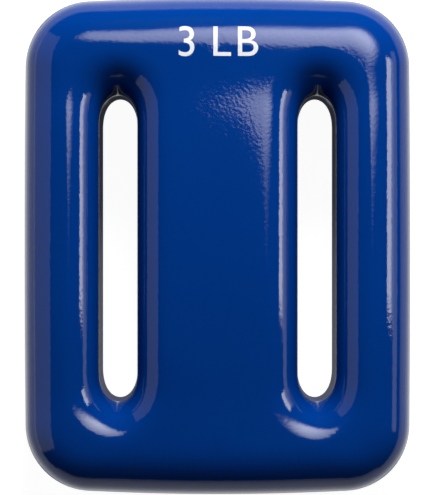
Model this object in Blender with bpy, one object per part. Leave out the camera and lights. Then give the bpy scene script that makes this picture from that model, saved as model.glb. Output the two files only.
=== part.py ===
"""Coated diving weight: a cast lead block with two belt slots, dipped in blue PVC.

The weight lies on its flat back at Z = 0, with its pillow-shaped front up. X is the width, Y the length, and a belt
50 mm wide goes down through one slot and up through the other. Units are metres.
"""

import math

import bmesh
import bpy

# Skin and play
COAT = 0.0015  # thickness of the dipped skin
GAP = 0.0003  # clearance between the skin and the lead
LEAD_DEPTH = COAT + GAP  # how far below the outer surface the lead lies

# Belt slots
WEBBING = 0.0508  # width of the belt that goes through
WEBBING_PLAY = 0.0063  # what the slot is longer than the webbing is wide
SLOT_WIDTH = 0.0065
SLOT_TIP = 0.005  # length of the half ellipse at each end of the throat
MOUTH_TIP = 0.0085  # the same at the front, where the slot is widest

# Front
SHOULDER_REACH = 0.0076  # how far in the front is rounded
SHOULDER_RISE = 0.008  # height over which it is rounded
WALL_DRAFT = 0.0006  # how much the outer wall leans in below that, as a casting's does
SIDE_CREST = 0.00035  # flat left on top of a side bar, between its shoulder and the slot
END_CREST = 0.0031  # the same on an end bar
LAND = 0.0189  # flat width between the slots
MOUTH_REACH = 0.005  # rounding where a slot's long side meets the front
MOUTH_END_REACH = 0.0056  # the same at a slot's ends
MOUTH_RISE = 0.0053  # depth over which both are rounded
SIDE_DRAFT = 0.001  # how much a slot's long side leans out below that
END_DRAFT = 0.0014  # the same at a slot's ends

# Back
THICKNESS = 0.028
LEAD_BACK_EDGE = 0.0024  # rounding of the lead round its flat back
LEAD_SLOT_EDGE = 0.0012  # rounding of the lead where a slot comes out of the back

# Outline
CREST_CORNER = 0.0048  # corner radius along the crest of the bars
SIDE_BOW = 0.00015  # how much a long side bulges between its corners
END_BOW = 0.0006  # the same for an end

# Hanging hole of the dip hook, in the back
HOOK_HOLE = 0.003  # diameter
HOOK_DEPTH = 0.007  # depth in the lead
HOOK_INSET = 0.005  # from the hole's middle to where the back starts to round off

# Sizes that follow from those above
BACK_EDGE = LEAD_BACK_EDGE + LEAD_DEPTH
SLOT_BACK_EDGE = LEAD_SLOT_EDGE + LEAD_DEPTH
SLOT_LENGTH = WEBBING + WEBBING_PLAY
MOUTH_SIDE = SIDE_DRAFT + MOUTH_REACH
MOUTH_END = END_DRAFT + MOUTH_END_REACH
SLOT_X = (LAND + SLOT_WIDTH) / 2 + MOUTH_SIDE
SHOULDER = WALL_DRAFT + SHOULDER_REACH
CORNER = CREST_CORNER + SHOULDER
HALF_WIDTH = SLOT_X + SLOT_WIDTH / 2 + MOUTH_SIDE + SIDE_CREST + SHOULDER
HALF_LENGTH = SLOT_LENGTH / 2 + MOUTH_END + END_CREST + SHOULDER
HOOK_Y = HALF_LENGTH - BACK_EDGE - HOOK_INSET

# Facets
CORNER_STEPS = 8
BOW_STEPS = 6
TIP_STEPS = 12
ROUND_STEPS = 7
EDGE_STEPS = 3
HOLE_STEPS = 16
OVERRUN = 0.001  # how far a cutter runs past the face it opens

COLLECTION = "coated_diving_weight"
CUTTERS = "cutters"


def clear_scene():
    for obj in list(bpy.data.objects):
        bpy.data.objects.remove(obj, do_unlink=True)


def make_collection(name):
    collection = bpy.data.collections.get(name) or bpy.data.collections.new(name)
    if name not in bpy.context.scene.collection.children:
        bpy.context.scene.collection.children.link(collection)
    return collection


def make_material(name, color, metallic, roughness):
    material = bpy.data.materials.new(name)
    material.use_nodes = True
    shader = material.node_tree.nodes["Principled BSDF"]
    shader.inputs["Base Color"].default_value = (*color, 1.0)
    shader.inputs["Metallic"].default_value = metallic
    shader.inputs["Roughness"].default_value = roughness
    return material


def arc(center, radius, start, end, steps):
    """Points along an arc, without its last one."""
    angles = [start + (end - start) * step / steps for step in range(steps)]
    return [(center[0] + radius * math.cos(a), center[1] + radius * math.sin(a)) for a in angles]


def bow_radius(span, bow):
    """Radius of the arc that bulges by bow over a half chord of span."""
    return (span**2 + bow**2) / (2 * bow)


def corner_center(side_center, side_reach, end_center, end_reach):
    """Where a corner's arc is centred, so that it runs smoothly into the side's arc and the end's."""
    across = end_center[0] - side_center[0]
    along = end_center[1] - side_center[1]
    distance = math.hypot(across, along)
    toward = (side_reach**2 - end_reach**2 + distance**2) / (2 * distance)
    off = math.sqrt(side_reach**2 - toward**2)
    return (
        side_center[0] + (toward * across - off * along) / distance,
        side_center[1] + (toward * along + off * across) / distance,
    )


def block_outline(inset):
    """The block's outline, counterclockwise, moved in by inset: bowed sides and ends joined by corner arcs."""
    side_radius = bow_radius(HALF_LENGTH - CORNER, SIDE_BOW)
    end_radius = bow_radius(HALF_WIDTH - CORNER, END_BOW)
    side = (HALF_WIDTH - side_radius, 0.0)
    end = (0.0, HALF_LENGTH - end_radius)
    x, y = corner_center(side, side_radius - CORNER, end, end_radius - CORNER)
    low = math.atan2(y, x - side[0])
    high = math.atan2(y - end[1], x)
    half = arc(side, side_radius - inset, -low, low, BOW_STEPS)
    half += arc((x, y), CORNER - inset, low, high, CORNER_STEPS)
    half += arc(end, end_radius - inset, high, math.pi - high, BOW_STEPS)
    half += arc((-x, y), CORNER - inset, math.pi - high, math.pi - low, CORNER_STEPS)
    return half + [(-px, -py) for px, py in half]


def slot_outline(side_growth, end_growth):
    """A slot's outline, counterclockwise: two long sides, closed by a half ellipse at each end."""
    half_width = SLOT_WIDTH / 2 + side_growth
    tip = SLOT_TIP + (MOUTH_TIP - SLOT_TIP) * end_growth / MOUTH_END
    straight = SLOT_LENGTH / 2 + end_growth - tip
    angles = [math.pi * step / TIP_STEPS for step in range(TIP_STEPS + 1)]
    front = [(half_width * math.cos(a), straight + tip * math.sin(a)) for a in angles]
    return front + [(-x, -y) for x, y in front]


def edge_profile(depth, back_edge, draft, reach, rise):
    """How far in, and how high, a wall lies from the back to the front, at a depth below the outer surface."""
    turn = math.pi / 2
    profile = []
    for step in range(EDGE_STEPS + 1):
        angle = turn * step / EDGE_STEPS
        radius = back_edge - depth
        profile.append((back_edge - radius * math.sin(angle), back_edge - radius * math.cos(angle)))
    for step in range(ROUND_STEPS + 1):
        angle = turn * step / ROUND_STEPS
        inset = draft + reach - (reach - depth) * math.cos(angle)
        profile.append((inset, THICKNESS - rise + (rise - depth) * math.sin(angle)))
    return profile


def loft(name, rings, material, collection):
    """A closed solid through rings of (x, y, z) points, which all have as many points, capped at both ends."""
    mesh = bpy.data.meshes.new(name)
    shape = bmesh.new()
    loops = [[shape.verts.new(point) for point in ring] for ring in rings]
    for lower, upper in zip(loops, loops[1:]):
        for i, corner in enumerate(lower):
            following = (i + 1) % len(lower)
            shape.faces.new((corner, lower[following], upper[following], upper[i]))
    shape.faces.new(list(reversed(loops[0])))
    shape.faces.new(loops[-1])
    bmesh.ops.recalc_face_normals(shape, faces=shape.faces)
    shape.to_mesh(mesh)
    shape.free()
    mesh.shade_smooth()
    mesh.set_sharp_from_angle(angle=math.radians(30))
    mesh.materials.append(material)
    solid = bpy.data.objects.new(name, mesh)
    collection.objects.link(solid)
    return solid


def hide_cutter(cutter):
    cutter.hide_render = True
    cutter.display_type = "WIRE"


def cut(solid, cutter):
    boolean = solid.modifiers.new(cutter.name, "BOOLEAN")
    boolean.operation = "DIFFERENCE"
    boolean.solver = "EXACT"
    boolean.object = cutter


def slot_cutters(name, depth, material, collection):
    """The two slots as solids, for the surface that lies at a depth below the outer one."""
    sides = edge_profile(depth, SLOT_BACK_EDGE, SIDE_DRAFT, MOUTH_REACH, MOUTH_RISE)
    ends = edge_profile(depth, SLOT_BACK_EDGE, END_DRAFT, MOUTH_END_REACH, MOUTH_RISE)
    levels = [(side, end, z) for (side, z), (end, _) in zip(sides, ends)]
    first, last = levels[0], levels[-1]
    levels.insert(0, (first[0], first[1], -OVERRUN))
    levels.append((last[0], last[1], THICKNESS + OVERRUN))
    rings = [[(x, y, z) for x, y in slot_outline(side, end)] for side, end, z in levels]
    right = loft(name + "_right", rings, material, collection)
    left = bpy.data.objects.new(name + "_left", right.data)
    collection.objects.link(left)
    right.location.x = SLOT_X
    left.location.x = -SLOT_X
    hide_cutter(right)
    hide_cutter(left)
    return right, left


def slotted_block(name, depth, material, collection, cutters):
    """The whole weight, or what is left of it a depth below its surface, with both slots cut."""
    profile = edge_profile(depth, BACK_EDGE, WALL_DRAFT, SHOULDER_REACH, SHOULDER_RISE)
    rings = [[(x, y, z) for x, y in block_outline(inset)] for inset, z in profile]
    block = loft(name, rings, material, collection)
    for cutter in slot_cutters(name + "_slot", depth, material, cutters):
        cut(block, cutter)
    return block


def hook_cutter(name, top, material, collection):
    """The hole left by the dip hook, from below the back up to a height."""
    mesh = bpy.data.meshes.new(name)
    shape = bmesh.new()
    bmesh.ops.create_cone(
        shape,
        cap_ends=True,
        segments=HOLE_STEPS,
        radius1=HOOK_HOLE / 2,
        radius2=HOOK_HOLE / 2,
        depth=top + OVERRUN,
    )
    shape.to_mesh(mesh)
    shape.free()
    mesh.materials.append(material)
    cutter = bpy.data.objects.new(name, mesh)
    cutter.location = (0.0, HOOK_Y, (top - OVERRUN) / 2)
    collection.objects.link(cutter)
    hide_cutter(cutter)
    return cutter


clear_scene()
parts = make_collection(COLLECTION)
cutters = make_collection(CUTTERS)

# Lead core: cast in one piece, with both slots and the blind hole that the dip hook holds it by.
lead = make_material("cast_lead", (0.19, 0.20, 0.22), 1.0, 0.55)
lead_core = slotted_block("lead_core", LEAD_DEPTH, lead, parts, cutters)
cut(lead_core, hook_cutter("hook_hole_in_lead", LEAD_DEPTH + HOOK_DEPTH, lead, cutters))

# Coating: one skin of dipped PVC over the block and through the slots, open only where the hook came out.
vinyl = make_material("blue_vinyl", (0.0, 0.03, 0.18), 0.0, 0.12)
coating = slotted_block("coating", 0.0, vinyl, parts, cutters)
hollow = slotted_block("hollow", COAT, vinyl, cutters, cutters)
hide_cutter(hollow)
cut(coating, hollow)
cut(coating, hook_cutter("hook_hole_in_coating", COAT + OVERRUN, vinyl, cutters))

# One empty at the middle of the back carries both pieces.
origin = bpy.data.objects.new("weight_origin", None)
parts.objects.link(origin)
lead_core.parent = origin
coating.parent = origin
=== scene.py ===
"""Coated diving weight: a lead casting under a blue vinyl skin, in the light of a small photo studio."""

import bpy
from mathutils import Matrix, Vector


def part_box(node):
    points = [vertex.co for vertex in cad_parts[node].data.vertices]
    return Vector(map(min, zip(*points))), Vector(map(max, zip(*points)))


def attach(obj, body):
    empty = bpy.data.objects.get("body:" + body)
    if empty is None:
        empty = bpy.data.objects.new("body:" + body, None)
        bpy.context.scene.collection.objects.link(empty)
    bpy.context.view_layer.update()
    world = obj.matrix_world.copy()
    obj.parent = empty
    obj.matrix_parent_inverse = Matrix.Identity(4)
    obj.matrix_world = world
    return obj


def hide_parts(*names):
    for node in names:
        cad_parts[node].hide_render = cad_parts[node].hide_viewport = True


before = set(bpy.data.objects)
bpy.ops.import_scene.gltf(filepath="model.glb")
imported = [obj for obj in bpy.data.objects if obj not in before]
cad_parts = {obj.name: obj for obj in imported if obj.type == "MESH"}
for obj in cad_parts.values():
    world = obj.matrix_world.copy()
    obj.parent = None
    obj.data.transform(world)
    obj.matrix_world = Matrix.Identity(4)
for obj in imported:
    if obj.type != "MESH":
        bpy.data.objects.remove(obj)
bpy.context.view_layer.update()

import math

import bmesh
import bpy
from mathutils import Matrix, Vector
from mathutils.bvhtree import BVHTree

# Skin
# Liquid PVC that the hot casting was dipped in and that cured on it, about 1.5 mm thick, in one piece over
# the whole block and down through both belt slots. It flowed before it set, so every edge is rounded.

SKIN = 0.0015  # thickness of the vinyl
skin_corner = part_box("coating")[1]  # the highest corner of its box
HALF_WIDTH = skin_corner.x
HALF_LENGTH = skin_corner.y
THICKNESS = skin_corner.z

# The outline, the outer wall, and the shoulder that leads from the wall up to the front.
CORNER = 0.013  # radius of the outline's corners
SIDE_BOW = 0.00015  # how much the outline's sides bulge
END_BOW = 0.0006  # the same for its ends
BACK_EDGE = 0.0042  # rounding from the back to the wall
WALL_DRAFT = 0.0006  # how much the wall leans in toward the front
SHOULDER_SIDE = 0.00862  # reach of the rounding from the wall up to a side bar
SHOULDER_END = 0.01036  # the same for an end bar
SHOULDER_SIDE_CURVE = (0.00755, 2.444, 2.171)  # depth and both powers of the rounding
SHOULDER_END_CURVE = (0.00845, 2.644, 2.083)
SHOULDER_FULL = 0.9995  # the rounding stops just short of 1, where it would be upright
END_START = 0.03  # from the weight's middle to where a side's shoulder starts to turn into an end's
END_RAMP = 0.012  # over how much of the length it does so
SIDE_RAMP = 0.021  # and over how much of the width
CREST = 0.0066  # how far inside the outline the loop lies that parts the land from the shoulder

# The throat of a belt slot, its edge at the back, and how it flares toward its mouth in the front.
SLOT_X = 0.0187  # from the weight's middle to the middle of a slot's mouth
SLOT_WIDTH = 0.0065
SLOT_LENGTH = 0.0571
SLOT_TIP = 0.006  # length of the throat's rounded end
SLOT_BACK_EDGE = 0.003  # rounding from the back into the throat
SLOT_DRAFT = 0.00025  # how much narrower and shorter a slot is there, on each side
THROAT_IN = 0.00022  # how much nearer the weight's middle the throat is than the mouth
THROAT_DOWN = 0.00042  # how much nearer the bottom end it is
THROAT_WIDER = 0.0003  # how much wider it is than SLOT_WIDTH, on each side
THROAT_POWER = 4  # how fast these three fade toward the front
MOUTH_SIDE = 0.00663  # how much wider a slot is at the front than in its throat, on each side
MOUTH_END = 0.00835  # how much longer, at each end
MOUTH_TIP = 0.0113  # length of the mouth's rounded end
MOUTH_TIP_POWER = 0.7  # how fast the rounded end grows to that
TIP_POWER = 2.5  # the rounded end is a superellipse, 2 of which would be an ellipse
MOUTH_SIDE_CURVE = (0.00685, 1.921, 2.192)  # depth and both powers of the rounding
MOUTH_END_CURVE = (0.00927, 2.275, 1.711)

# The land between the slots, which is slightly crowned, and the bars beyond its ends.
LAND = 0.00945  # half its width
LAND_SINK = 0.00012  # how much lower it is along the slots than in its middle
SINK_POWER = 3.87  # how late it falls on the way there
SINK_FADE = 0.008  # over which that ends beyond LAND_END
LAND_SLOPE = 0.0403  # how steep it is where it is steepest
LAND_END = 0.02607  # from the weight's middle to that place
LAND_POWER = 4  # how late it falls on the way there
LAND_RUNOUT = 0.005  # over which it levels out again beyond that
BAR_RISE = 0.00015  # how much the front then rises onto the top end bar
BAR_START = 0.031  # from the weight's middle to where it does so
BAR_RAMP = 0.0068  # and over how much of the length

HALF_SIDE_STEPS = 16  # facets along half of a straight side
STRAIGHT_STEPS = 8  # from there on to the outline's corner
CORNER_STEPS = 20
OVER_STEPS = 6  # from the corner to above the slot's middle
END_STEPS = 34  # from there to the middle of the weight
TIP_STEPS = STRAIGHT_STEPS + CORNER_STEPS + OVER_STEPS + END_STEPS  # one for each of those round a slot's end
ROUND_STEPS = 20  # up each rounded edge of the front
WALL_STEPS = 4
LAND_STEPS = 16  # across the flat of the front
BACK_ROUND_STEPS = 5
BACK_STEPS = 6
QUARTER = math.pi / 2


def clip(value):
    return min(max(value, 0.0), 1.0)


def ease(value):
    return value * value * (3 - 2 * value)


def blend(start, end, share):
    return [a + (b - a) * share for a, b in zip(start, end)]


def sweep(center, radius, start, end, steps):
    """Points along an arc, with its first and without its last."""
    turns = [start + (end - start) * step / steps for step in range(steps)]
    return [(center[0] + radius * math.cos(turn), center[1] + radius * math.sin(turn)) for turn in turns]


def line(start, end, steps):
    """Points along a straight line, with its first and without its last."""
    return [
        (start[0] + (end[0] - start[0]) * step / steps, start[1] + (end[1] - start[1]) * step / steps)
        for step in range(steps)
    ]


def whole_loop(upper):
    """A loop round a slot from its upper half, which starts and ends on the X axis."""
    return upper + [(x, -y) for x, y in reversed(upper[1:-1])]


def slot_shape(share):
    """Middle, half width, tip and straight half length of a slot, share of the way from throat to front."""
    deep = (1 - share) ** THROAT_POWER
    tip = SLOT_TIP + (MOUTH_TIP - SLOT_TIP) * share**MOUTH_TIP_POWER
    reach = SLOT_WIDTH / 2 + MOUTH_SIDE * share + THROAT_WIDER * deep
    straight = SLOT_LENGTH / 2 + MOUTH_END * share - tip
    return (SLOT_X - THROAT_IN * deep, -THROAT_DOWN * deep), reach, tip, straight


def slot_loop(share, grown=0.0):
    """Loop round the right slot, share of the way from its throat to the front, grown if asked."""
    middle, reach, tip, straight = slot_shape(share)
    reach += grown
    straight += grown
    upper = line((reach, 0.0), (reach, straight), HALF_SIDE_STEPS)
    for turn in [math.pi * step / TIP_STEPS for step in range(TIP_STEPS)]:
        upper.append((reach * math.cos(turn), straight + tip * math.sin(turn) ** (2 / TIP_POWER)))
    upper += line((-reach, straight), (-reach, 0.0), HALF_SIDE_STEPS)
    return [(middle[0] + x, middle[1] + y) for x, y in whole_loop(upper + [(-reach, 0.0)])]


def block_loop(inset):
    """Loop round the right half of the block, inset from the outline, closed along the weight's middle."""
    half_side = HALF_LENGTH - CORNER
    half_end = HALF_WIDTH - CORNER
    side_radius = (half_side**2 + SIDE_BOW**2) / (2 * SIDE_BOW)
    end_radius = (half_end**2 + END_BOW**2) / (2 * END_BOW)
    side = Vector((HALF_WIDTH - side_radius, 0.0))
    end = Vector((0.0, HALF_LENGTH - end_radius))
    # The corner's arc touches the wide arcs of the side and the end from inside.
    apart = (end - side).length
    toward = ((side_radius - CORNER) ** 2 - (end_radius - CORNER) ** 2 + apart**2) / (2 * apart)
    off = math.sqrt((side_radius - CORNER) ** 2 - toward**2)
    ahead = (end - side).normalized()
    corner = side + ahead * toward + Vector((-ahead.y, ahead.x)) * off
    low = math.atan2(corner.y, corner.x - side.x)
    high = math.atan2(corner.y - end.y, corner.x)
    level = low * (SLOT_LENGTH / 2 + MOUTH_END - MOUTH_TIP) / half_side
    above = math.acos(SLOT_X / end_radius)
    upper = sweep(side, side_radius - inset, 0.0, level, HALF_SIDE_STEPS)
    upper += sweep(side, side_radius - inset, level, low, STRAIGHT_STEPS)
    upper += sweep(corner, CORNER - inset, low, high, CORNER_STEPS)
    upper += sweep(end, end_radius - inset, high, above, OVER_STEPS)
    upper += sweep(end, end_radius - inset, above, QUARTER, END_STEPS)
    upper += line((0.0, end.y + (end_radius - inset)), (0.0, 0.0), HALF_SIDE_STEPS)
    return whole_loop(upper + [(0.0, 0.0)])


def rounding(out, curve):
    """How far a rounded edge has fallen, out of the way to its foot. It is a superellipse with two powers."""
    depth, power, root = curve
    return depth * (1 - (1 - out**power) ** (1 / root))


def shoulder_drop(x, y):
    """How far the rounding toward the outer wall has fallen at a place."""
    side = HALF_WIDTH - SIDE_BOW * clip(abs(y) / (HALF_LENGTH - CORNER)) ** 2
    end = HALF_LENGTH - END_BOW * clip(abs(x) / (HALF_WIDTH - CORNER)) ** 2
    across = CORNER - (side - abs(x))
    along = CORNER - (end - abs(y))
    inset = CORNER - (math.hypot(across, along) if min(across, along) > 0 else max(across, along))
    toward_end = ease(clip((abs(y) - END_START) / END_RAMP) * clip((HALF_WIDTH - abs(x)) / SIDE_RAMP))
    reach = SHOULDER_SIDE + (SHOULDER_END - SHOULDER_SIDE) * toward_end
    out = min(clip((WALL_DRAFT + reach - inset) / reach), SHOULDER_FULL)
    return rounding(out, blend(SHOULDER_SIDE_CURVE, SHOULDER_END_CURVE, toward_end))


def mouth_drop(share, y):
    """How far the front has fallen into a slot, on the loop that is share of the way out of its throat."""
    middle, _, tip, straight = slot_shape(share)
    toward_end = clip((abs(y - middle[1]) - straight) / tip) ** 2
    return rounding(1 - share, blend(MOUTH_SIDE_CURVE, MOUTH_END_CURVE, toward_end))


def crown(x, y):
    """How far the front sinks at a place, as lead shrinks and vinyl runs: least in the land's middle."""
    across = clip(abs(x) / LAND) ** SINK_POWER * (1 - ease(clip((abs(y) - LAND_END) / SINK_FADE)))
    steepening = clip(abs(y) / LAND_END) ** LAND_POWER / LAND_POWER * LAND_END
    beyond = clip((abs(y) - LAND_END) / LAND_RUNOUT)
    levelling = LAND_RUNOUT * (beyond - beyond**3 + beyond**4 / 2)  # the sum of 1 - ease so far
    rise = BAR_RISE * ease(clip((y - BAR_START) / BAR_RAMP))
    return LAND_SINK * across + LAND_SLOPE * (steepening + levelling) - rise


def on_front(loop, share=1.0):
    """A loop laid on the front, on a slot's mouth where it is share of the way out of the throat."""
    return [(x, y, THICKNESS - shoulder_drop(x, y) - mouth_drop(share, y) - crown(x, y)) for x, y in loop]


def at_height(loop, height):
    return [(x, y, height) for x, y in loop]


def between(inner, outer, share):
    """The loop that lies share of the way from one loop to another."""
    return [tuple(blend(start, end, share)) for start, end in zip(inner, outer)]


def rings_of_skin():
    """Closed rings of points from a slot's back edge over the front and round to the back."""
    back_turns = [QUARTER * step / BACK_ROUND_STEPS for step in range(BACK_ROUND_STEPS + 1)]
    round_turns = [QUARTER * step / ROUND_STEPS for step in range(ROUND_STEPS + 1)]
    wall_shares = [step / WALL_STEPS for step in range(1, WALL_STEPS)]
    land_shares = [step / LAND_STEPS for step in range(1, LAND_STEPS)]
    back_shares = [step / BACK_STEPS for step in range(1, BACK_STEPS)]
    slot_foot = []
    block_foot = []
    for turn in back_turns:
        inward = 1 - math.sin(turn)
        upward = 1 - math.cos(turn)
        slot_edge = slot_loop(0.0, SLOT_BACK_EDGE * inward - SLOT_DRAFT)
        slot_foot.append(at_height(slot_edge, SLOT_BACK_EDGE * upward))
        block_foot.append(at_height(block_loop(BACK_EDGE * inward), BACK_EDGE * upward))
    mouth = []
    shoulder = []
    for turn in round_turns:
        share = 1 - math.cos(turn)
        mouth.append(on_front(slot_loop(share), share))
        shoulder.append(on_front(block_loop(WALL_DRAFT + (CREST - WALL_DRAFT) * share)))
    rings = slot_foot + [between(slot_foot[-1], mouth[0], share) for share in wall_shares] + mouth
    rings += [on_front(between(slot_loop(1.0), block_loop(CREST), share)) for share in land_shares]
    rings += shoulder[::-1] + [between(shoulder[0], block_foot[-1], share) for share in wall_shares]
    rings += block_foot[::-1]
    return rings + [between(block_foot[0], slot_foot[0], share) for share in back_shares]


# A flat grid is rolled up into the right half, a closed ring round its slot, and mirrored for the left half.
SAME_PLACE = 1e-7  # points closer than this are one
rings = rings_of_skin()
stations = len(rings[0])
half = bmesh.new()
bmesh.ops.create_grid(half, x_segments=len(rings), y_segments=stations, size=1.0)
for vert in half.verts:
    ring = rings[round((vert.co.x + 1) / 2 * len(rings)) % len(rings)]
    vert.co = ring[round((vert.co.y + 1) / 2 * stations) % stations]
bmesh.ops.remove_doubles(half, verts=half.verts, dist=SAME_PLACE)
in_the_middle = [face for face in half.faces if max(vert.co.x for vert in face.verts) < SAME_PLACE]
bmesh.ops.delete(half, geom=in_the_middle, context="FACES")
everything = half.verts[:] + half.edges[:] + half.faces[:]
bmesh.ops.mirror(half, geom=everything, merge_dist=SAME_PLACE, axis="X")
bmesh.ops.remove_doubles(half, verts=half.verts, dist=SAME_PLACE)
bmesh.ops.recalc_face_normals(half, faces=half.faces)
skin_tree = BVHTree.FromBMesh(half)


def piece_from(shape, name):
    """A finished bmesh as an object in the scene."""
    mesh = bpy.data.meshes.new(name)
    shape.to_mesh(mesh)
    shape.free()
    piece = bpy.data.objects.new(name, mesh)
    bpy.context.scene.collection.objects.link(piece)
    return piece


def mesh_of(piece):
    """A new mesh of a piece as its modifiers leave it."""
    return bpy.data.meshes.new_from_object(piece.evaluated_get(bpy.context.evaluated_depsgraph_get()))


def bake(piece):
    """The piece's modifiers become its mesh."""
    finished = mesh_of(piece)
    piece.modifiers.clear()
    piece.data = finished


skin = piece_from(half, "vinyl_skin")
wall = skin.modifiers.new("wall", "SOLIDIFY")
wall.thickness = SKIN
wall.offset = -1.0  # inward from the outer face
wall.use_even_offset = True

# The hook that held the casting in the dip leaves a round hole through the skin of the back.
HOOK_HOLE = 0.0015  # its radius
HOOK_Y = 0.03765
HOOK_FACETS = 48

rod = bmesh.new()
bmesh.ops.create_cone(
    rod,
    cap_ends=True,
    segments=HOOK_FACETS,
    radius1=HOOK_HOLE,
    radius2=HOOK_HOLE,
    depth=4 * SKIN,
    matrix=Matrix.Translation((0.0, HOOK_Y, 0.0)),
)
hook_rod = piece_from(rod, "hook_rod")
hole = skin.modifiers.new("hook_hole", "BOOLEAN")
hole.operation = "DIFFERENCE"
hole.solver = "EXACT"
hole.object = hook_rod
bake(skin)
bpy.data.objects.remove(hook_rod)

SKIN_CREASE = math.radians(40)  # only the hook hole's rim is sharper
skin.data.shade_smooth()
skin.data.set_sharp_from_angle(angle=SKIN_CREASE)


def color(code):
    """An sRGB hex colour as Blender's linear RGBA."""
    parts = [int(code[i : i + 2], 16) / 255 for i in (0, 2, 4)]
    return [part / 12.92 if part <= 0.04045 else ((part + 0.055) / 1.055) ** 2.4 for part in parts] + [1.0]


def add(tree, kind, settings, *links):
    """Adds a node. Settings go on it or its sockets, by name or number, and links are (socket, input)."""
    node = tree.nodes.new(kind)
    for name, value in settings.items():
        if isinstance(name, str) and hasattr(node, name):
            setattr(node, name, value)
        else:
            node.inputs[name].default_value = value
    for socket, entry in links:
        tree.links.new(socket, node.inputs[entry])
    return node


def new_material(name):
    """A material with its node tree, its shader and the place on the object that its patterns read."""
    material = bpy.data.materials.new(name)
    material.use_nodes = True
    tree = material.node_tree
    place = add(tree, "ShaderNodeTexCoord", {}).outputs["Object"]
    return material, tree, tree.nodes["Principled BSDF"], place


# Plasticised PVC, dipped and cured in an oven: a wet-looking gloss over a deep blue that is the same right
# through, with the faint waves and the fine orange peel of a film that flowed before it set.
DEEP_BLUE = color("002f78")
BRIGHT_BLUE = color("003584")
TINT_PATCH = 0.03  # from one patch of slightly other colour and gloss to the next
SMOOTHEST = 0.03  # roughness of the film where it flowed out best
ROUGHEST = 0.07
PVC_IOR = 1.53
GRAIN = 0.0006  # from one bump of the orange peel to the next, drawn twice as coarse as it is, to show
GRAIN_DEPTH = 0.000016
WAVE = 0.006  # from one slow wave to the next
WAVE_DEPTH = 0.00001

vinyl, tree, shader, place = new_material("dipped_vinyl")
waves = add(tree, "ShaderNodeTexNoise", {"Scale": 1 / WAVE, "Detail": 1.0}, (place, "Vector"))
grain = add(tree, "ShaderNodeTexNoise", {"Scale": 1 / GRAIN, "Detail": 2.0}, (place, "Vector"))
slow = add(tree, "ShaderNodeBump", {"Distance": WAVE_DEPTH}, (waves.outputs[0], "Height"))
peel = add(
    tree,
    "ShaderNodeBump",
    {"Distance": GRAIN_DEPTH},
    (grain.outputs[0], "Height"),
    (slow.outputs[0], "Normal"),
)
tree.links.new(peel.outputs[0], shader.inputs["Normal"])
patches = add(tree, "ShaderNodeTexNoise", {"Scale": 1 / TINT_PATCH, "Detail": 3.0}, (place, "Vector"))
tint = add(
    tree, "ShaderNodeMix", {"data_type": "RGBA", 6: DEEP_BLUE, 7: BRIGHT_BLUE}, (patches.outputs[0], "Factor")
)
tree.links.new(tint.outputs[2], shader.inputs["Base Color"])
gloss = add(
    tree, "ShaderNodeMapRange", {"To Min": SMOOTHEST, "To Max": ROUGHEST}, (patches.outputs[0], "Value")
)
tree.links.new(gloss.outputs[0], shader.inputs["Roughness"])
shader.inputs["IOR"].default_value = PVC_IOR
skin.data.materials.clear()
skin.data.materials.append(vinyl)

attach(skin, "root")
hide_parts("coating")

# Weight mark
# The weight in pounds, pad-printed in white ink on the cured vinyl above the land. The pad is soft, so the
# print follows the skin over the edge of the end bar.

MARK = "3 LB"
MARK_SIZE = 0.008  # size of the typeface
MARK_Y = 0.0375  # from the weight's middle to the print's
LETTER_SPACE = 1.15  # as a share of the typeface's own
WORD_SPACE = 0.5
LETTER_FACETS = 10  # along each curve of a letter
LETTER_SAME_PLACE = 1e-5  # in letters one unit high
INK = 0.000015  # thickness of the film
INK_LIFT = INK / 3  # how far above the skin it starts
STRIPS = 24  # into which it is cut to bend with the skin
INK_CREASE = math.radians(30)  # the rim of the film stays sharp

lettering = bpy.data.curves.new("weight_mark", "FONT")
lettering.body = MARK
lettering.space_character = LETTER_SPACE
lettering.space_word = WORD_SPACE
lettering.align_x = "CENTER"
lettering.align_y = "CENTER"
lettering.resolution_u = LETTER_FACETS
writer = bpy.data.objects.new("weight_mark", lettering)
bpy.context.scene.collection.objects.link(writer)
print_shape = bmesh.new()
print_shape.from_mesh(mesh_of(writer))
bpy.data.objects.remove(writer)
bmesh.ops.remove_doubles(print_shape, verts=print_shape.verts, dist=LETTER_SAME_PLACE)
bmesh.ops.scale(print_shape, verts=print_shape.verts, vec=(MARK_SIZE, MARK_SIZE, MARK_SIZE))
bmesh.ops.translate(print_shape, verts=print_shape.verts, vec=(0.0, MARK_Y, 0.0))
for strip in range(1, STRIPS):
    everything = print_shape.verts[:] + print_shape.edges[:] + print_shape.faces[:]
    cut = (0.0, MARK_Y + MARK_SIZE * (strip / STRIPS - 0.5), 0.0)
    bmesh.ops.bisect_plane(print_shape, geom=everything, plane_co=cut, plane_no=(0.0, 1.0, 0.0))
for vert in print_shape.verts:
    overhead = Vector((vert.co.x, vert.co.y, 2 * THICKNESS))
    under = skin_tree.ray_cast(overhead, Vector((0.0, 0.0, -1.0)))[0]
    vert.co.z = under.z + INK_LIFT
bmesh.ops.recalc_face_normals(print_shape, faces=print_shape.faces)
mark = piece_from(print_shape, "weight_mark")
film = mark.modifiers.new("ink", "SOLIDIFY")
film.thickness = INK
film.offset = 1.0  # outward from the skin
bake(mark)
mark.data.shade_smooth()
mark.data.set_sharp_from_angle(angle=INK_CREASE)

# Two-part pad ink: opaque white with a soft sheen, laid down a little unevenly.
THIN_INK = color("cdd0d5")
FULL_INK = color("d9dbdf")
SPECKLE = 0.0007  # from one thin spot to the next
SPECKLE_DEPTH = 0.0000015
INK_ROUGHNESS = 0.35

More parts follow.
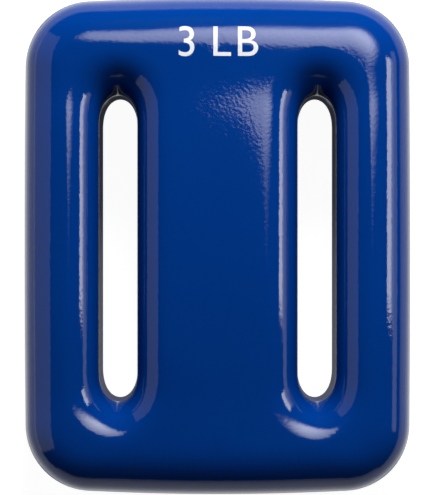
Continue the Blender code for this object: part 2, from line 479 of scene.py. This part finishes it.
ink, tree, shader, place = new_material("white_pad_ink")
speckle = add(tree, "ShaderNodeTexNoise", {"Scale": 1 / SPECKLE, "Detail": 2.0}, (place, "Vector"))
shade = add(
    tree, "ShaderNodeMix", {"data_type": "RGBA", 6: THIN_INK, 7: FULL_INK}, (speckle.outputs[0], "Factor")
)
tree.links.new(shade.outputs[2], shader.inputs["Base Color"])
uneven = add(tree, "ShaderNodeBump", {"Distance": SPECKLE_DEPTH}, (speckle.outputs[0], "Height"))
tree.links.new(uneven.outputs[0], shader.inputs["Normal"])
shader.inputs["Roughness"].default_value = INK_ROUGHNESS
mark.data.materials.clear()
mark.data.materials.append(ink)
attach(mark, "root")

# Lead
# The weight itself, melted lead that was poured into an iron mould with both belt slots in it. It keeps the
# mesh that it has in model.glb, since only the bottom of the hook hole in the back shows it.

# Soft lead as cast: a dull blue-grey that has oxidised unevenly, with the small pits of the mould.
FRESH_LEAD = color("5c6066")
OXIDE = color("8b8f94")
BLOOM = 0.004  # from one patch of oxide to the next
PIT = 0.0009  # from one pit to the next
PIT_DEPTH = 0.00005
LEAD_ROUGHNESS = 0.5

lead, tree, shader, place = new_material("cast_lead")
bloom = add(tree, "ShaderNodeTexNoise", {"Scale": 1 / BLOOM, "Detail": 4.0}, (place, "Vector"))
oxide = add(
    tree, "ShaderNodeMix", {"data_type": "RGBA", 6: FRESH_LEAD, 7: OXIDE}, (bloom.outputs[0], "Factor")
)
tree.links.new(oxide.outputs[2], shader.inputs["Base Color"])
pits = add(tree, "ShaderNodeTexNoise", {"Scale": 1 / PIT, "Detail": 3.0}, (place, "Vector"))
pitted = add(tree, "ShaderNodeBump", {"Distance": PIT_DEPTH}, (pits.outputs[0], "Height"))
tree.links.new(pitted.outputs[0], shader.inputs["Normal"])
shader.inputs["Metallic"].default_value = 1.0
shader.inputs["Roughness"].default_value = LEAD_ROUGHNESS
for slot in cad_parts["lead_core"].material_slots:
    slot.material = lead

# Camera
# Straight above the weight, and far enough off to see hardly anything of its walls. The picture is just high
# enough to take it in.

CAMERA_DISTANCE = 0.8  # above the widest part
VIEW_HEIGHT = 0.09413  # what the picture's height takes in there
VIEW_Y = -0.00027  # where the picture's middle is
SENSOR = 36.0  # in millimetres

camera = bpy.data.objects.new("camera", bpy.data.cameras.new("camera"))
bpy.context.scene.collection.objects.link(camera)
camera.location = (0.0, VIEW_Y, BACK_EDGE + CAMERA_DISTANCE)
camera.data.sensor_fit = "AUTO"
camera.data.sensor_width = SENSOR
camera.data.lens = SENSOR * CAMERA_DISTANCE / VIEW_HEIGHT
bpy.context.scene.camera = camera

# Studio
# A white table under the weight, a large softbox above its upper right corner, a small strip lamp low on the
# right, dim cards on the left, on the right and beyond the bottom end, and a fill lamp beyond the top end.

FLOOR_REACH = 4.0  # from its middle to each edge
FLOOR_GAP = 0.0001  # how far it lies below the weight's back, so that the two don't flicker

floor_shape = bmesh.new()
floor_place = Matrix.Translation((0.0, 0.0, -FLOOR_GAP))
bmesh.ops.create_grid(floor_shape, x_segments=1, y_segments=1, size=FLOOR_REACH, matrix=floor_place)
floor = piece_from(floor_shape, "floor")

# Matt white acrylic that glows an even white to the camera, so it stays white under the weight. What the
# gloss mirrors of it carries painted light and shade. Each level is a strength, where 1 is white.
WHITE = color("ffffff")
TABLE_LEVEL = 0.95  # as the camera sees it
SHADOW_PAINT_LEVEL = 0.015  # painted shadow: its glow as the gloss mirrors it under the weight
NEAR_GLOW_PAINT = 0.95  # painted light: its glow as the gloss mirrors it close by
FAR_SHARE = 0.5  # how much of that is left far off
NEAR = 0.01  # from the weight's outline to where the painted glow is brightest
FAR_START = 0.012  # and to where it starts to fade
FAR_END = 0.045  # and stops
SLOT_GLOW_PAINT = 0.75  # painted light: its glow as the gloss mirrors it under the slots
SLOT_DARK = 0.0021  # from a slot's edge to where the painted light on the table starts
SLOT_BRIGHT = 0.0034  # and to where it would be brightest
BOUNCE = 0.45  # what it throws back onto the walls of the weight
ACRYLIC = color("8f9092")
TABLE_ROUGHNESS = 0.9

table, tree, shader, place = new_material("white_table")
shader.inputs["Base Color"].default_value = ACRYLIC
shader.inputs["Roughness"].default_value = TABLE_ROUGHNESS
shader.inputs["Emission Color"].default_value = WHITE
folded = add(tree, "ShaderNodeVectorMath", {"operation": "ABSOLUTE"}, (place, 0))

# The weight mirrors the table round it. The table's glow there is painted brightest close by and fading far
# off, with a painted shadow where the weight stands.
past = add(
    tree,
    "ShaderNodeVectorMath",
    {"operation": "SUBTRACT", 1: (HALF_WIDTH, HALF_LENGTH, 0.0)},
    (folded.outputs[0], 0),
)
outside = add(
    tree, "ShaderNodeVectorMath", {"operation": "MAXIMUM", 1: (0.0, 0.0, 0.0)}, (past.outputs[0], 0)
)
away = add(tree, "ShaderNodeVectorMath", {"operation": "LENGTH"}, (outside.outputs[0], 0)).outputs["Value"]
nearby = add(
    tree,
    "ShaderNodeMapRange",
    {"From Max": NEAR, "To Min": SHADOW_PAINT_LEVEL, "To Max": NEAR_GLOW_PAINT},
    (away, "Value"),
)
farther = add(
    tree,
    "ShaderNodeMapRange",
    {"From Min": FAR_START, "From Max": FAR_END, "To Min": 1.0, "To Max": FAR_SHARE},
    (away, "Value"),
)
painted_shadow_round = add(
    tree, "ShaderNodeMath", {"operation": "MULTIPLY"}, (nearby.outputs[0], 0), (farther.outputs[0], 1)
)

# Under the middles of its slots, the table's glow is painted brighter: a painted pool of the light that would
# come through them.
off_slot = add(
    tree,
    "ShaderNodeVectorMath",
    {"operation": "SUBTRACT", 1: (SLOT_X, 0.0, 0.0)},
    (folded.outputs[0], 0),
)
slot_folded = add(tree, "ShaderNodeVectorMath", {"operation": "ABSOLUTE"}, (off_slot.outputs[0], 0))
slot_edges = add(
    tree,
    "ShaderNodeVectorMath",
    {"operation": "SUBTRACT", 0: (SLOT_WIDTH / 2, SLOT_LENGTH / 2, 0.0)},
    (slot_folded.outputs[0], 1),
)
inside = add(tree, "ShaderNodeSeparateXYZ", {}, (slot_edges.outputs[0], 0))
nearest = add(
    tree, "ShaderNodeMath", {"operation": "MINIMUM"}, (inside.outputs[0], 0), (inside.outputs[1], 1)
)
painted_slot_glow = add(
    tree,
    "ShaderNodeMapRange",
    {"From Min": SLOT_DARK, "From Max": SLOT_BRIGHT, "To Max": SLOT_GLOW_PAINT},
    (nearest.outputs[0], "Value"),
)

# Mirrored or through glass, it shows that painted light and shade. Directly, it shows an even white, and the
# walls get a little of it.
ray = add(tree, "ShaderNodeLightPath", {}).outputs
painted_light_and_shade = add(
    tree, "ShaderNodeMath", {"operation": "MAXIMUM"}, (painted_shadow_round.outputs[0], 0), (painted_slot_glow.outputs[0], 1)
)
seen = add(
    tree,
    "ShaderNodeMath",
    {"operation": "ADD", "use_clamp": True},
    (ray["Is Glossy Ray"], 0),
    (ray["Is Transmission Ray"], 1),
)
mirrored = add(tree, "ShaderNodeMath", {"operation": "MULTIPLY"}, (seen.outputs[0], 0), (painted_light_and_shade.outputs[0], 1))
directly = add(tree, "ShaderNodeMath", {"operation": "MULTIPLY", 1: TABLE_LEVEL}, (ray["Is Camera Ray"], 0))
shown = add(tree, "ShaderNodeMath", {"operation": "ADD"}, (mirrored.outputs[0], 0), (directly.outputs[0], 1))
glow = add(
    tree,
    "ShaderNodeMath",
    {"operation": "MULTIPLY_ADD", 1: BOUNCE},
    (ray["Is Diffuse Ray"], 0),
    (shown.outputs[0], 2),
)
tree.links.new(glow.outputs[0], shader.inputs["Emission Strength"])
floor.data.materials.append(table)


def lamp(name, lean_x, lean_y, distance, turn, width, height, radiance):
    """A rectangular lamp that faces the weight, off toward X and Y by so many degrees, and itself turned."""
    lean = math.radians(math.hypot(lean_x, lean_y))
    heading = math.atan2(lean_y, lean_x)
    out = Vector((math.sin(lean) * math.cos(heading), math.sin(lean) * math.sin(heading), math.cos(lean)))
    upright = (Vector((0.0, 1.0, 0.0)) - out * out.y).normalized()
    facing = Matrix((upright.cross(out), upright, out)).transposed()
    light = bpy.data.lights.new(name, "AREA")
    light.shape = "RECTANGLE"
    light.size = width
    light.size_y = height
    light.energy = radiance * math.pi * width * height
    light.use_nodes = True
    holder = bpy.data.objects.new(name, light)
    bpy.context.scene.collection.objects.link(holder)
    holder.matrix_world = (
        Matrix.Translation(Vector((0.0, 0.0, THICKNESS)) + out * distance)
        @ facing.to_4x4()
        @ Matrix.Rotation(math.radians(turn), 4, "Z")
    )
    holder.visible_camera = False
    return holder


# The softbox is brightest about its middle. It fades to a third toward one side, where its bulb is, and to
# nothing toward its other edges.
BULB = (0.2105, 0.536, 0.0)  # as shares of its width and height
BULB_FALL = 98.6  # its light falls off as exp(-BULB_FALL * distance**BULB_POWER), with the distance in shares
BULB_POWER = 5.54
NEAR_SIDE = 0.31  # and it grows from this at the bulb's side
FAR_SIDE = 1.69  # to this at the other

softbox = lamp(
    "softbox",
    lean_x=19.92,
    lean_y=31.81,
    distance=0.3051,
    turn=35.1,
    width=0.3264,
    height=0.2367,
    radiance=9.5,
)
softbox.visible_diffuse = False
tree = softbox.data.node_tree
spot = add(tree, "ShaderNodeNewGeometry", {}).outputs["Parametric"]
flat_spot = add(tree, "ShaderNodeVectorMath", {"operation": "MULTIPLY", 1: (1.0, 1.0, 0.0)}, (spot, 0))
off_bulb = add(tree, "ShaderNodeVectorMath", {"operation": "DISTANCE", 1: BULB}, (flat_spot.outputs[0], 0))
late = add(tree, "ShaderNodeMath", {"operation": "POWER", 1: BULB_POWER}, (off_bulb.outputs["Value"], 0))
lost = add(tree, "ShaderNodeMath", {"operation": "MULTIPLY", 1: -BULB_FALL}, (late.outputs[0], 0))
left = add(tree, "ShaderNodeMath", {"operation": "EXPONENT"}, (lost.outputs[0], 0))
across = add(tree, "ShaderNodeSeparateXYZ", {}, (spot, 0))
side = add(
    tree, "ShaderNodeMapRange", {"To Min": NEAR_SIDE, "To Max": FAR_SIDE}, (across.outputs[0], "Value")
)
glow = add(tree, "ShaderNodeMath", {"operation": "MULTIPLY"}, (left.outputs[0], 0), (side.outputs[0], 1))
tree.links.new(glow.outputs[0], tree.nodes["Emission"].inputs["Strength"])

# The strip lamp fades toward its outer edge.
STRIP_FALL = 2.84  # its light falls by exp(-STRIP_FALL) from its middle to there

strip_lamp = lamp(
    "strip",
    lean_x=59.7,
    lean_y=6.33,
    distance=0.1977,
    turn=-6.6,
    width=0.0706,
    height=0.0742,
    radiance=6.85,
)
tree = strip_lamp.data.node_tree
spot = add(tree, "ShaderNodeNewGeometry", {}).outputs["Parametric"]
across = add(tree, "ShaderNodeSeparateXYZ", {}, (spot, 0))
lost = add(
    tree,
    "ShaderNodeMapRange",
    {"From Min": 0.5, "From Max": 1.0, "To Min": 0.0, "To Max": -STRIP_FALL},
    (across.outputs[0], "Value"),
)
left = add(tree, "ShaderNodeMath", {"operation": "EXPONENT"}, (lost.outputs[0], 0))
tree.links.new(left.outputs[0], tree.nodes["Emission"].inputs["Strength"])

# Dim white cards: one on each side, and a thin one that lies low beyond the bottom end.
lamp(
    "left_card",
    lean_x=-81.76,
    lean_y=6.39,
    distance=0.2433,
    turn=-0.4,
    width=0.4341,
    height=0.3856,
    radiance=0.516,
)
lamp(
    "right_card",
    lean_x=71.3,
    lean_y=4.8,
    distance=0.3,
    turn=0.0,
    width=0.079,
    height=0.189,
    radiance=0.95,
)
lamp(
    "front_card",
    lean_x=0.0,
    lean_y=-87.5,
    distance=0.4,
    turn=0.0,
    width=0.6,
    height=0.055,
    radiance=0.34,
)

# A fill lamp low beyond the top end. It and the lens are crossed polarised, so the gloss doesn't mirror it.
fill = lamp(
    "fill",
    lean_x=9.5,
    lean_y=57.5,
    distance=0.369,
    turn=0.0,
    width=0.18,
    height=0.14,
    radiance=28.0,
)
fill.visible_glossy = False

# A dark room with a white backdrop.
ROOM_LEVEL = 0.01
BACKDROP_LEVEL = 1.0

world = bpy.data.worlds.new("studio")
bpy.context.scene.world = world
world.use_nodes = True
tree = world.node_tree
ray = add(tree, "ShaderNodeLightPath", {}).outputs
room = add(
    tree,
    "ShaderNodeMapRange",
    {"To Min": ROOM_LEVEL, "To Max": BACKDROP_LEVEL},
    (ray["Is Camera Ray"], "Value"),
)
tree.links.new(room.outputs[0], tree.nodes["Background"].inputs["Strength"])
tree.nodes["Background"].inputs["Color"].default_value = WHITE

bpy.context.scene.view_settings.view_transform = "Standard"
